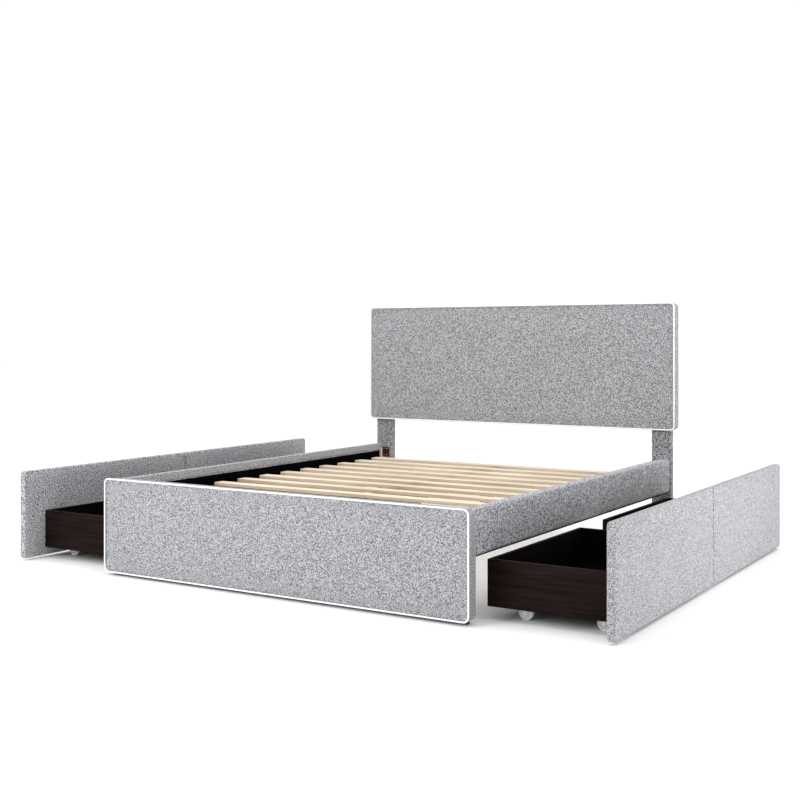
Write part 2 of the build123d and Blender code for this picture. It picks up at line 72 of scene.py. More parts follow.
# ------------------------------------------------------------------ node-tree helper
class Shader:
    """A small builder for one material's node tree."""

    def __init__(self, name: str) -> None:
        """Starts a material with a Principled shader and object coordinates.

        Args:
            name: the material's name.
        """
        self.material = bpy.data.materials.new(name)
        self.material.use_nodes = True
        self.tree = self.material.node_tree
        self.tree.nodes.clear()
        self.surface = self.add("ShaderNodeBsdfPrincipled")
        output = self.add("ShaderNodeOutputMaterial")
        self.join(self.surface.outputs["BSDF"], output.inputs["Surface"])
        self.coordinates = self.add("ShaderNodeTexCoord").outputs["Object"]

    def add(self, kind: str, **settings: object) -> bpy.types.Node:
        """Adds a node and sets its attributes.

        Args:
            kind: the node's type name.
            settings: attributes to set on it.

        Returns:
            The new node.
        """
        node = self.tree.nodes.new(kind)
        for key, value in settings.items():
            setattr(node, key, value)
        return node

    def join(self, source: bpy.types.NodeSocket, target: bpy.types.NodeSocket) -> None:
        """Links one socket to another.

        Args:
            source: the output socket.
            target: the input socket.
        """
        self.tree.links.new(source, target)

    def set(self, **values: object) -> None:
        """Sets constants straight on the Principled shader's sockets.

        Args:
            values: socket names with underscores for spaces, and their values.
        """
        for key, value in values.items():
            self.surface.inputs[key.replace("_", " ")].default_value = value

    def stretched(self, scale: Point) -> bpy.types.NodeSocket:
        """Object coordinates scaled along each axis.

        Args:
            scale: the factor along X, Y and Z.

        Returns:
            The vector socket.
        """
        mapping = self.add("ShaderNodeMapping")
        mapping.inputs["Scale"].default_value = scale
        self.join(self.coordinates, mapping.inputs["Vector"])
        return mapping.outputs["Vector"]

    def noise(self, scale: float, detail: float = 2.0, roughness: float = 0.5,
              vector: bpy.types.NodeSocket | None = None,
              distortion: float = 0.0) -> bpy.types.NodeSocket:
        """A noise texture's value.

        Args:
            scale: features per metre.
            detail: octaves.
            roughness: weight of the finer octaves.
            vector: coordinates, or None for plain object coordinates.
            distortion: how much the pattern is warped.

        Returns:
            The factor socket.
        """
        node = self.add("ShaderNodeTexNoise")
        for key, value in (("Scale", scale), ("Detail", detail), ("Roughness", roughness),
                           ("Distortion", distortion)):
            node.inputs[key].default_value = value
        self.join(vector or self.coordinates, node.inputs["Vector"])
        return node.outputs["Fac"]

    def cells(self, scale: float,
              vector: bpy.types.NodeSocket | None = None) -> bpy.types.NodeSocket:
        """Distance to the nearest of many scattered points.

        Args:
            scale: points per metre.
            vector: coordinates, or None for plain object coordinates.

        Returns:
            The distance socket.
        """
        node = self.add("ShaderNodeTexVoronoi", feature="F1")
        node.inputs["Scale"].default_value = scale
        self.join(vector or self.coordinates, node.inputs["Vector"])
        return node.outputs["Distance"]

    def ramp(self, value: bpy.types.NodeSocket,
             stops: list[tuple[float, Point]]) -> bpy.types.NodeSocket:
        """Turns a value into a colour.

        Args:
            value: the factor socket.
            stops: places from 0 to 1 and their linear colours.

        Returns:
            The colour socket.
        """
        node = self.add("ShaderNodeValToRGB")
        elements = node.color_ramp.elements
        while len(elements) < len(stops):
            elements.new(0.5)
        for element, (place, colour) in zip(elements, stops):
            element.position = place
            element.color = (*colour, 1.0)
        self.join(value, node.inputs["Fac"])
        return node.outputs["Color"]

    def level(self, value: bpy.types.NodeSocket, low: float, high: float,
              to_low: float, to_high: float) -> bpy.types.NodeSocket:
        """Maps a value from one range to another.

        Args:
            value: the socket to map.
            low: start of its range.
            high: end of its range.
            to_low: what the start becomes.
            to_high: what the end becomes.

        Returns:
            The mapped socket.
        """
        node = self.add("ShaderNodeMapRange")
        for key, number in (("From Min", low), ("From Max", high),
                            ("To Min", to_low), ("To Max", to_high)):
            node.inputs[key].default_value = number
        self.join(value, node.inputs["Value"])
        return node.outputs["Result"]

    def multiply(self, colour: bpy.types.NodeSocket,
                 value: bpy.types.NodeSocket) -> bpy.types.NodeSocket:
        """A colour darkened or lightened by a value.

        Args:
            colour: the colour socket.
            value: the factor socket.

        Returns:
            The colour socket.
        """
        node = self.add("ShaderNodeMix", data_type="RGBA", blend_type="MULTIPLY")
        node.inputs[0].default_value = 1.0
        self.join(colour, node.inputs[6])
        self.join(value, node.inputs[7])
        return node.outputs[2]

    def plus(self, first: bpy.types.NodeSocket,
             second: bpy.types.NodeSocket) -> bpy.types.NodeSocket:
        """The sum of two values.

        Args:
            first: one value's socket.
            second: the other's.

        Returns:
            The sum's socket.
        """
        node = self.add("ShaderNodeMath", operation="ADD")
        self.join(first, node.inputs[0])
        self.join(second, node.inputs[1])
        return node.outputs[0]

    def facing_up(self) -> bpy.types.NodeSocket:
        """How far the surface faces up, 1 on a level top and 0 on an upright face.

        Returns:
            The value's socket.
        """
        normal = self.add("ShaderNodeTexCoord").outputs["Normal"]
        parts = self.add("ShaderNodeSeparateXYZ")
        self.join(normal, parts.inputs["Vector"])
        return parts.outputs["Z"]

    def bump(self, height: bpy.types.NodeSocket, strength: float, distance: float) -> None:
        """Raises the surface's fine relief.

        Args:
            height: the height socket.
            strength: how strong the relief is.
            distance: its depth in metres.
        """
        node = self.add("ShaderNodeBump")
        node.inputs["Strength"].default_value = strength
        node.inputs["Distance"].default_value = distance
        self.join(height, node.inputs["Height"])
        self.join(node.outputs["Normal"], self.surface.inputs["Normal"])

    def colour(self, socket: bpy.types.NodeSocket) -> None:
        """Links the surface's colour.

        Args:
            socket: the colour socket.
        """
        self.join(socket, self.surface.inputs["Base Color"])

    def roughness(self, socket: bpy.types.NodeSocket) -> None:
        """Links the surface's roughness.

        Args:
            socket: the roughness socket.
        """
        self.join(socket, self.surface.inputs["Roughness"])


# ------------------------------------------------------------------ finishes
def grey(value: float, tint: Point = (1.0, 1.0, 1.0)) -> Point:
    """A tinted grey as a linear colour.

    Args:
        value: its lightness.
        tint: its colour cast.

    Returns:
        The colour.
    """
    return tuple(value * part for part in tint)


@dataclass(frozen=True)
class LoopedCloth:
    """Upholstery cloth of short looped yarn in mixed greys.

    Attributes:
        name: the finish's name.
        dark: lightness of the darkest yarn.
        light: lightness of the lightest yarn.
        tint: colour cast.
        yarn: flecks per metre.
        relief: depth of the loops in metres.
    """

    name: str = "grey_fabric"
    dark: float = 0.15
    light: float = 0.53
    tint: Point = (0.978, 0.988, 1.032)
    yarn: float = 272.0
    relief: float = 0.0012

    def make(self) -> bpy.types.Material:
        """Builds the material.

        Returns:
            The material.
        """
        shader = Shader(self.name)
        flecks = shader.noise(self.yarn, detail=1.0, roughness=0.6)
        loops = shader.cells(self.yarn * 1.5)
        middle = (self.dark + self.light) / 2
        colour = shader.ramp(flecks, [
            (0.40, grey(self.dark, self.tint)),
            (0.50, grey(middle, self.tint)),
            (0.60, grey(self.light, self.tint)),
        ])
        # painted shade: darker between the yarn loops, lighter on their tops
        shade = shader.level(loops, 0.0, 0.8, 1.12, 0.80)
        patches = shader.level(shader.noise(9.0, detail=4.0, roughness=0.7), 0.3, 0.7, 0.98, 1.02)
        shader.colour(shader.multiply(shader.multiply(colour, shade), patches))
        height = shader.plus(shader.level(loops, 0.0, 0.8, 1.0, 0.0), flecks)
        shader.bump(height, 0.7, self.relief)
        shader.set(Roughness=0.96, Sheen_Weight=0.12, Sheen_Roughness=0.5, Specular_IOR_Level=0.15)
        return shader.material


@dataclass(frozen=True)
class CordCloth:
    """Smooth white cloth wrapped on the bias round a piping cord.

    Attributes:
        name: the finish's name.
        light: lightness of the cloth.
    """

    name: str = "white_piping"
    light: float = 0.88

    def make(self) -> bpy.types.Material:
        """Builds the material.

        Returns:
            The material.
        """
        shader = Shader(self.name)
        threads = shader.noise(900.0, detail=2.0)
        shader.colour(shader.ramp(threads, [(0.3, grey(self.light * 0.9)),
                                            (0.7, grey(self.light))]))
        shader.bump(threads, 0.4, 0.0004)
        shader.set(Roughness=0.8, Sheen_Weight=0.1, Specular_IOR_Level=0.25)
        return shader.material


@dataclass(frozen=True)
class BackingCloth:
    """Thin black non-woven cloth with a pressed dot pattern.

    Attributes:
        name: the finish's name.
        light: lightness of the cloth.
    """

    name: str = "backing_cloth"
    light: float = 0.025

    def make(self) -> bpy.types.Material:
        """Builds the material.

        Returns:
            The material.
        """
        shader = Shader(self.name)
        dots = shader.cells(420.0)
        fibres = shader.noise(300.0, detail=5.0, roughness=0.8,
                              vector=shader.stretched((1.0, 1.0, 0.35)))
        shader.colour(shader.multiply(
            shader.ramp(fibres, [(0.35, grey(self.light * 0.7)), (0.7, grey(self.light * 1.9))]),
            shader.level(dots, 0.15, 0.4, 0.6, 1.0)))
        shader.bump(shader.plus(dots, fibres), 0.35, 0.0005)
        shader.set(Roughness=0.9, Specular_IOR_Level=0.2)
        return shader.material


@dataclass(frozen=True)
class Timber:
    """Wood with a stretched grain, growth bands and fine pores, and, where asked, painted shade on
    its upright faces.

    Attributes:
        name: the finish's name.
        dark: colour of the late wood.
        light: colour of the early wood.
        grain: stretch of the pattern, smallest along the grain.
        bands: growth bands per metre across the grain.
        roughness: dullness of the finish.
        relief: depth of the grain in metres.
        specular: strength of the plain reflection.
        upright_shade: lightness of the upright faces against the level tops, painted shade for
            light that falls from above.
    """

    name: str
    dark: Point
    light: Point
    grain: Point = (0.06, 1.0, 1.0)
    bands: float = 46.0
    roughness: float = 0.55
    relief: float = 0.0004
    specular: float = 0.3
    upright_shade: float = 1.0

    def make(self) -> bpy.types.Material:
        """Builds the material.

        Returns:
            The material.
        """
        shader = Shader(self.name)
        along = shader.stretched(self.grain)
        growth = shader.noise(self.bands, detail=3.0, roughness=0.55, vector=along, distortion=0.6)
        pores = shader.noise(self.bands * 14.0, detail=2.0, roughness=0.6, vector=along)
        boards = shader.noise(3.1, detail=1.0)
        middle = tuple((a + b) / 2 for a, b in zip(self.dark, self.light))
        colour = shader.ramp(growth, [(0.34, self.dark), (0.46, middle), (0.60, self.light)])
        fine = shader.level(pores, 0.3, 0.7, 0.90, 1.06)
        tone = shader.level(boards, 0.3, 0.7, 0.92, 1.06)
        colour = shader.multiply(shader.multiply(colour, fine), tone)
        # painted shade: the upright faces are darker than the level tops, as light from above falls
        if self.upright_shade < 1.0:
            colour = shader.multiply(
                colour, shader.level(shader.facing_up(), 0.2, 0.8, self.upright_shade, 1.0))
        shader.colour(colour)
        shader.roughness(
            shader.level(growth, 0.3, 0.7, self.roughness + 0.08, self.roughness - 0.06))
        shader.bump(shader.plus(growth, pores), 0.3, self.relief)
        shader.set(Specular_IOR_Level=self.specular)
        return shader.material


@dataclass(frozen=True)
class Paint:
    """Sprayed or powder-coated colour with a faint orange-peel surface.

    Attributes:
        name: the finish's name.
        colour: its linear colour.
        roughness: dullness.
        metal: 1 for bare metal.
        speckle: how much the colour varies.
        scale: features per metre.
        specular: strength of the plain reflection.
    """

    name: str
    colour: Point
    roughness: float = 0.5
    metal: float = 0.0
    speckle: float = 0.12
    scale: float = 380.0
    specular: float = 0.4

    def make(self) -> bpy.types.Material:
        """Builds the material.

        Returns:
            The material.
        """
        shader = Shader(self.name)
        peel = shader.noise(self.scale, detail=3.0)
        wear = shader.noise(self.scale / 12, detail=4.0, roughness=0.7)
        low = tuple(part * (1 - self.speckle) for part in self.colour)
        high = tuple(min(1.0, part * (1 + self.speckle)) for part in self.colour)
        shader.colour(shader.ramp(wear, [(0.3, low), (0.7, high)]))
        shader.roughness(shader.level(wear, 0.3, 0.7, self.roughness - 0.07, self.roughness + 0.07))
        shader.bump(peel, 0.2, 0.0003)
        shader.set(Metallic=self.metal, Specular_IOR_Level=self.specular)
        return shader.material


@dataclass(frozen=True)
class MilkyPlastic:
    """Moulded plastic that lets some light through.

    Attributes:
        name: the finish's name.
        colour: its linear colour.
        clear: share of light that passes through.
        roughness: dullness.
    """

    name: str
    colour: Point
    clear: float
    roughness: float = 0.3

    def make(self) -> bpy.types.Material:
        """Builds the material.

        Returns:
            The material.
        """
        shader = Shader(self.name)
        flow = shader.noise(60.0, detail=3.0, roughness=0.6)
        low = tuple(part * 0.93 for part in self.colour)
        shader.colour(shader.ramp(flow, [(0.3, low), (0.7, self.colour)]))
        shader.roughness(shader.level(flow, 0.3, 0.7, self.roughness - 0.05, self.roughness + 0.08))
        shader.bump(shader.noise(500.0), 0.12, 0.0002)
        shader.set(Transmission_Weight=self.clear, IOR=1.5, Subsurface_Weight=0.25,
                   Subsurface_Scale=0.004, Subsurface_Radius=(1.0, 1.0, 1.0))
        return shader.material


class Finishes:
    """Every finish of the bed, made once."""

    def __init__(self) -> None:
        """Makes the materials."""
        self.cloth = LoopedCloth().make()
        self.front_cloth = LoopedCloth("grey_fabric_fronts", dark=0.16,
                                       light=0.52, yarn=250.0).make()
        self.head_cloth = LoopedCloth("grey_fabric_headboard", dark=0.17,
                                      light=0.50, yarn=205.0).make()
        # a copy with stronger contrast for the rails and the left drawer fronts, which lie in
        # shade: painted shade and light in the yarn
        self.shaded_cloth = LoopedCloth("grey_fabric_shaded", dark=0.09,
                                        light=0.65, yarn=220.0).make()
        # a darker copy of the cloth for the posts: painted shade under the headboard
        self.post_shade_cloth = LoopedCloth("grey_fabric_posts_shade", dark=0.05, light=0.49, yarn=190.0).make()
        self.piping = CordCloth().make()
        self.backing = BackingCloth().make()
        # the slats' upright faces take painted shade, darker than their lit tops
        self.pine = Timber("pine_slats", (0.64, 0.51, 0.37), (0.81, 0.68, 0.52), upright_shade=0.74).make()
        self.raw = Timber("raw_timber", (0.56, 0.45, 0.33), (0.76, 0.65, 0.51),
                          grain=(0.5, 0.5, 1.0), roughness=0.7).make()
        self.espresso = Timber("espresso_wood", (0.0050, 0.0026, 0.0022), (0.0125, 0.0070, 0.0058),
                               grain=(0.05, 0.05, 1.0), bands=90.0, roughness=0.6,
                               specular=0.06).make()
        # a darker copy of the stain for the faces inside the drawer boxes: painted shade
        self.box_inside_shade = Timber("espresso_wood_inside_shade", (0.0012, 0.0009, 0.0008),
                                 (0.0034, 0.0024, 0.0021), grain=(0.05, 0.05, 1.0), bands=90.0,
                                 roughness=0.75, specular=0.02).make()
        self.black = Paint("black_board", grey(0.003), roughness=0.7, specular=0.0).make()
        self.bracket = Paint("bracket_paint", (0.060, 0.014, 0.008), roughness=0.42,
                             specular=0.25).make()
        self.zinc = Paint("zinc_steel", (0.62, 0.61, 0.58), roughness=0.3, metal=1.0,
                          speckle=0.08, scale=900.0).make()
        self.caster = MilkyPlastic("caster_nylon", (0.92, 0.92, 0.91), 0.0).make()
        self.wheel = MilkyPlastic("wheel_plastic", (0.95, 0.95, 0.95), 0.08).make()
        self.glide = Paint("glide_plastic", grey(0.02), roughness=0.45).make()


# ------------------------------------------------------------------ modelling helpers
def only(piece: bpy.types.Object) -> None:
    """Selects one object and makes it the active one.

    Args:
        piece: the object.
    """
    bpy.ops.object.select_all(action="DESELECT")
    piece.select_set(True)
    bpy.context.view_layer.objects.active = piece


def start_cube(name: str, low: Iterable[float], high: Iterable[float]) -> bpy.types.Object:
    """Adds a cube between two corners, with its place in its mesh.

    Args:
        name: the new piece's name.
        low: its lowest corner.
        high: its highest corner.

    Returns:
        The new object, selected and active.
    """
    low, high = Vector(low), Vector(high)
    bpy.ops.object.select_all(action="DESELECT")
    bpy.ops.mesh.primitive_cube_add(size=1, location=(low + high) / 2, scale=high - low)
    piece = bpy.context.active_object
    piece.name = name
    bpy.ops.object.transform_apply(location=True, rotation=True, scale=True)
    return piece


def choose(piece: bpy.types.Object, kind: str, test: Callable) -> int:
    """Selects, in edit mode, what passes a test, and nothing else.

    Args:
        piece: the object in edit mode.
        kind: "verts", "edges" or "faces".
        test: says whether an element is wanted.

    Returns:
        How many were selected.
    """
    bpy.ops.mesh.select_all(action="DESELECT")
    bpy.ops.mesh.select_mode(type={"verts": "VERT", "edges": "EDGE", "faces": "FACE"}[kind])
    form = bmesh.from_edit_mesh(piece.data)
    count = 0
    for element in getattr(form, kind):
        if test(element):
            element.select_set(True)
            count += 1
    bmesh.update_edit_mesh(piece.data)
    return count


def edge_along(edge: bmesh.types.BMEdge, axis: Axis) -> bool:
    """Whether an edge is parallel to an axis.

    Args:
        edge: the edge.
        axis: the axis.

    Returns:
        True where it is.
    """
    run = edge.verts[1].co - edge.verts[0].co
    return run.length > EPS and abs(run[axis.value]) > run.length - EPS


def edge_at(edge: bmesh.types.BMEdge, axis: Axis, place: float) -> bool:
    """Whether both ends of an edge are at one place along an axis.

    Args:
        edge: the edge.
        axis: the axis.
        place: the place along it.

    Returns:
        True where they are.
    """
    return all(abs(vert.co[axis.value] - place) < EPS for vert in edge.verts)


def bevel(piece: bpy.types.Object, test: Callable, radius: float, segments: int) -> None:
    """Rounds the chosen edges, in edit mode.

    Args:
        piece: the object in edit mode.
        test: says whether an edge is wanted.
        radius: the rounding's radius.
        segments: strips across it.
    """
    if choose(piece, "edges", test):
        bpy.ops.mesh.bevel(offset=radius, segments=segments, profile=0.5, affect="EDGES")


def cut(piece: bpy.types.Object, axis: Axis, place: float) -> None:
    """Cuts the mesh in two along a plane, in edit mode, and keeps both sides joined.

    Args:
        piece: the object in edit mode; not used.
        axis: the plane's normal.
        place: where the plane stands along it.
    """
    bpy.ops.mesh.select_all(action="SELECT")
    normal = [0.0, 0.0, 0.0]
    normal[axis.value] = 1.0
    point = [0.0, 0.0, 0.0]
    point[axis.value] = place
    bpy.ops.mesh.bisect(plane_co=point, plane_no=normal, threshold=EPS)


def eased_block(name: str, low: Iterable[float], high: Iterable[float], test: Callable,
                radius: float, segments: int) -> bpy.types.Object:
    """Adds a block between two corners and rounds some of its edges.

    Args:
        name: the new piece's name.
        low: its lowest corner.
        high: its highest corner.
        test: says whether an edge is rounded.
        radius: the rounding's radius.
        segments: strips across it.

    Returns:
        The new object, in object mode.
    """
    piece = start_cube(name, low, high)
    bpy.ops.object.mode_set(mode="EDIT")
    bevel(piece, test, radius, segments)
    bpy.ops.object.mode_set(mode="OBJECT")
    return piece


def joined(pieces: list[bpy.types.Object], name: str) -> bpy.types.Object:
    """Joins several objects into the first one.

    Args:
        pieces: the objects.
        name: the joined piece's name.

    Returns:
        The joined piece.
    """
    bpy.ops.object.select_all(action="DESELECT")
    for piece in pieces:
        piece.select_set(True)
    bpy.context.view_layer.objects.active = pieces[0]
    bpy.ops.object.join()
    pieces[0].name = name
    return pieces[0]


def divide(piece: bpy.types.Object, axis: Axis, cell: float) -> None:
    """Divides the long straight edges along an axis into cells, in edit mode.

    Args:
        piece: the object in edit mode.
        axis: the direction of the edges.
        cell: about how long each part is.
    """
    longest = 0.0

    def wanted(edge: bmesh.types.BMEdge) -> bool:
        """Whether the edge runs along the axis and is longer than two cells."""
        return edge_along(edge, axis) and edge.calc_length() > 2 * cell

    form = bmesh.from_edit_mesh(piece.data)
    for edge in form.edges:
        if wanted(edge):
            longest = max(longest, edge.calc_length())
    if choose(piece, "edges", wanted):
        bpy.ops.mesh.subdivide(number_cuts=min(100, max(1, round(longest / cell) - 1)))


def swell(piece: bpy.types.Object, reach: Callable[[Vector], float]) -> None:
    """Blows a cover up a little from inside, as its foam does, held at its seams.

    A point that the simulation carries further than it may go is brought back to that
    distance, and the free points are then smoothed.

    Args:
        piece: the cover.
        reach: how far a point at a place may move; 0 holds it.
    """
    limits = [reach(vert.co) for vert in piece.data.vertices]
    held = piece.vertex_groups.new(name="held")
    held.add([number for number, limit in enumerate(limits) if limit <= 0], 1.0, "REPLACE")
    before = [vert.co.copy() for vert in piece.data.vertices]
    only(piece)
    bpy.ops.object.modifier_add(type="CLOTH")
    cloth = piece.modifiers[-1]
    cloth.settings.vertex_group_mass = held.name
    cloth.settings.use_pressure = True
    cloth.settings.uniform_pressure_force = SWELL_PRESSURE
    cloth.settings.effector_weights.gravity = 0.0
    cloth.settings.quality = SWELL_QUALITY
    cloth.point_cache.frame_start = 1
    cloth.point_cache.frame_end = SWELL_FRAMES
    scene = bpy.context.scene
    for step in range(1, SWELL_FRAMES + 1):
        scene.frame_set(step)
    bpy.ops.object.modifier_apply(modifier=cloth.name)
    scene.frame_set(1)
    moves = []
    for vert, start, limit in zip(piece.data.vertices, before, limits):
        move = vert.co - start
        if limit <= 0:
            vert.co = start
            continue
        moves.append(move.length)
        if move.length > limit:
            vert.co = start + move.normalized() * limit
    free = piece.vertex_groups.new(name="free")
    free.add([number for number, limit in enumerate(limits) if limit > 0], 1.0, "REPLACE")
    bpy.ops.object.modifier_add(type="SMOOTH")
    smoother = piece.modifiers[-1]
    smoother.iterations = SMOOTH_STEPS
    smoother.vertex_group = free.name
    bpy.ops.object.modifier_apply(modifier=smoother.name)
    piece.vertex_groups.clear()
    log.info("%s: swelled by %.1f mm on average, %.1f mm at most, before the cap", piece.name,
             1000 * sum(moves) / len(moves), 1000 * max(moves))


def soften(piece: bpy.types.Object, levels: int = 1, angle: float = 180.0) -> None:
    """Subdivides a piece and shades it smooth.

    Args:
        piece: the piece.
        levels: subdivision levels, or 0 for none.
        angle: edges sharper than this stay crisp, in degrees.
    """
    only(piece)
    if levels:
        bpy.ops.object.modifier_add(type="SUBSURF")
        rounder = piece.modifiers[-1]
        rounder.levels = levels
        rounder.render_levels = levels
        bpy.ops.object.modifier_apply(modifier=rounder.name)
    bpy.ops.object.shade_smooth_by_angle(angle=math.radians(angle))


def ripple(piece: bpy.types.Object, size: float, depth: float,
           reach: Callable[[Vector], float]) -> None:
    """Moves a cover's surface in and out a little, as cloth over foam lies.

    Args:
        piece: the cover.
        size: length of the waves.
        depth: how far they stand in or out.
        reach: 0 where a point stays, more where it may move.
    """
    group = piece.vertex_groups.new(name="free")
    for number, vert in enumerate(piece.data.vertices):
        if reach(vert.co) > 0:
            group.add([number], 1.0, "REPLACE")
    texture = bpy.data.textures.new(piece.name + "_waves", "CLOUDS")
    texture.noise_scale = size
    texture.noise_depth = 2
    only(piece)
    bpy.ops.object.modifier_add(type="DISPLACE")
    waves = piece.modifiers[-1]
    waves.texture = texture
    waves.texture_coords = "LOCAL"
    waves.strength = depth
    waves.mid_level = 0.5
    waves.vertex_group = group.name
    bpy.ops.object.modifier_apply(modifier=waves.name)
    piece.vertex_groups.clear()


def dress(piece: bpy.types.Object, material: bpy.types.Material, slot: str, body: str,
          *nodes: str) -> None:
    """Gives a piece its finish, its body and the nodes that it stands for.

    Args:
        piece: the finished piece.
        material: its material.
        slot: the record's slot for that finish; not used.
        body: the body that it moves with.
        nodes: the nodes that it replaces.
    """
    piece.data.materials.clear()
    piece.data.materials.append(material)
    if nodes:
        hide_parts(*nodes)
    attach(piece, body)
    log.info("%s: %d faces on %s", piece.name, len(piece.data.polygons), body)


# ------------------------------------------------------------------ padded panels
@dataclass
class PaddedSlab:
    """A flat board wrapped in foam and cloth, with rounded corners.

    Attributes:
        name: the piece's name.
        node: the node that it replaces.
        body: the body that it rides on.
        thin: the axis through its thickness.
        corners: corner radii at its low end and its high end.
        edge: rounding of the long edges.
        face_give: how far the low and the high big face swell.
        side_give: how far the narrow sides swell.
        cell: size of the cloth's cells.
        wave: depth of the unevenness of the cloth.
        held_rim: width of the strip beside the edge rounding that is held.
        under: thickness of the cloth turned under the board.
    """

    name: str
    node: str
    body: str
    thin: Axis
    corners: tuple[float, float]
    edge: float
    face_give: tuple[float, float]
    side_give: float
    cell: float = 0.012
    wave: float = 0.0008
    held_rim: float = 0.001
    under: float = 0.0008
    low: Vector = field(init=False)
    high: Vector = field(init=False)
    long: Axis = field(init=False)

    def __post_init__(self) -> None:
        """Takes the slab's box from its node, less what it will swell by."""
        self.low, self.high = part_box(self.node)
        self.long = Axis.X if self.thin is Axis.Y else Axis.Y
        self.low[self.thin.value] += self.face_give[0]
        self.high[self.thin.value] -= self.face_give[1]
        self.low.z -= self.under

    def form(self) -> bpy.types.Object:
        """Models the wrapped board before it swells.

        Returns:
            The piece, in object mode.
        """
        piece = start_cube(self.name, self.low, self.high)
        bpy.ops.object.mode_set(mode="EDIT")
        ends = (self.low[self.long.value], self.high[self.long.value])
        for end, radius in zip(ends, self.corners):
            bevel(piece, lambda edge: edge_along(edge, self.thin)
                  and edge_at(edge, self.long, end), radius, CORNER_STEPS)
        faces = (self.low[self.thin.value], self.high[self.thin.value])
        bevel(piece, lambda edge: any(edge_at(edge, self.thin, face) for face in faces),
              self.edge, 3)
        for end, radius, inward in zip(ends, self.corners, (1, -1)):
            cut(piece, self.long, end + inward * radius)
            cut(piece, Axis.Z, self.low.z + radius)
            cut(piece, Axis.Z, self.high.z - radius)
        cut(piece, self.long, sum(ends) / 2)
        for axis in (self.long, Axis.Z, self.thin):
            divide(piece, axis, self.cell)
        bpy.ops.object.mode_set(mode="OBJECT")
        return piece

    def inset(self, place: Vector) -> float:
        """How far a place lies inside the outline of the big faces.

        Args:
            place: the place.

        Returns:
            The distance to the nearest side.
        """
        return min(place[self.long.value] - self.low[self.long.value],
                   self.high[self.long.value] - place[self.long.value],
                   place.z - self.low.z, self.high.z - place.z)

    def reach(self, place: Vector) -> float:
        """How far the cloth may move at a place.

        Args:
            place: the place.

        Returns:
            The distance, 0 at the seams.
        """
        thin = place[self.thin.value]
        inset = self.inset(place)
        for face, give in ((self.low[self.thin.value], self.face_give[0]),
                           (self.high[self.thin.value], self.face_give[1])):
            if abs(thin - face) < EPS:
                return give if inset > self.edge + self.held_rim else 0.0
        depth = min(thin - self.low[self.thin.value], self.high[self.thin.value] - thin)
        if depth > self.edge + EPS:
            return self.side_give
        return 0.0

    def build(self, cloth: bpy.types.Material) -> bpy.types.Object:
        """Models, swells, smooths and dresses the slab.

        Args:
            cloth: its cloth.

        Returns:
            The finished piece.
        """
        piece = self.form()
        swell(piece, self.reach)
        ripple(piece, RIPPLE_LENGTH, self.wave, self.reach_after)
        soften(piece)
        dress(piece, cloth, "grey_fabric", self.body, self.node)
        return piece

    def reach_after(self, place: Vector) -> float:
        """Whether the swollen big faces may be uneven at a place.

        Args:
            place: the place.

        Returns:
            1 where they may, or else 0.
        """
        thin = place[self.thin.value]
        front = thin < self.low[self.thin.value] + EPS and self.face_give[0] > 0
        back = thin > self.high[self.thin.value] - EPS and self.face_give[1] > 0
        return 1.0 if (front or back) and self.inset(place) > self.edge + self.cell else 0.0


@dataclass
class Piping:
    """A cord wrapped in cloth and sewn round the front edge of a padded panel.

    Attributes:
        name: the piece's name.
        node: the node that it replaces.
        radius: the cord's radius.
        corner: the corner radius of its path.
    """

    name: str
    node: str
    radius: float = 0.0032
    corner: float = 0.020

    def build(self, finishes: Finishes) -> bpy.types.Object:
        """Models the cord along a rounded rectangle and dresses it.

        Args:
            finishes: the bed's finishes.

        Returns:
            The finished piece.
        """
        low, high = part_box(self.node)
        front = (low.y + high.y) / 2
        low, high = low + Vector([self.radius] * 3), high - Vector([self.radius] * 3)
        bpy.ops.object.select_all(action="DESELECT")
        bpy.ops.mesh.primitive_plane_add(
            size=1, location=((low.x + high.x) / 2, front, (low.z + high.z) / 2),
            rotation=(math.pi / 2, 0, 0))
        piece = bpy.context.active_object
        piece.name = self.name
        piece.scale = (high.x - low.x, high.z - low.z, 1)
        bpy.ops.object.transform_apply(location=True, rotation=True, scale=True)
        bpy.ops.object.mode_set(mode="EDIT")
        bpy.ops.mesh.select_all(action="SELECT")
        bpy.ops.mesh.bevel(offset=self.corner, segments=8, profile=0.5, affect="VERTICES")
        bpy.ops.mesh.delete(type="ONLY_FACE")
        for axis in (Axis.X, Axis.Z):
            divide(piece, axis, CORD_CELL)
        bpy.ops.object.mode_set(mode="OBJECT")
        only(piece)
        bpy.ops.object.convert(target="CURVE")
        piece.data.bevel_depth = self.radius
        piece.data.bevel_resolution = 4
        bpy.ops.object.convert(target="MESH")
        piece = bpy.context.active_object
        bpy.ops.object.mode_set(mode="EDIT")
        bpy.ops.mesh.select_all(action="SELECT")
        bpy.ops.mesh.remove_doubles(threshold=EPS)
        bpy.ops.mesh.normals_make_consistent(inside=False)
        bpy.ops.object.mode_set(mode="OBJECT")
        soften(piece, levels=0)
        dress(piece, finishes.piping, "white_piping", FRAME_BODY, self.node)
        return piece


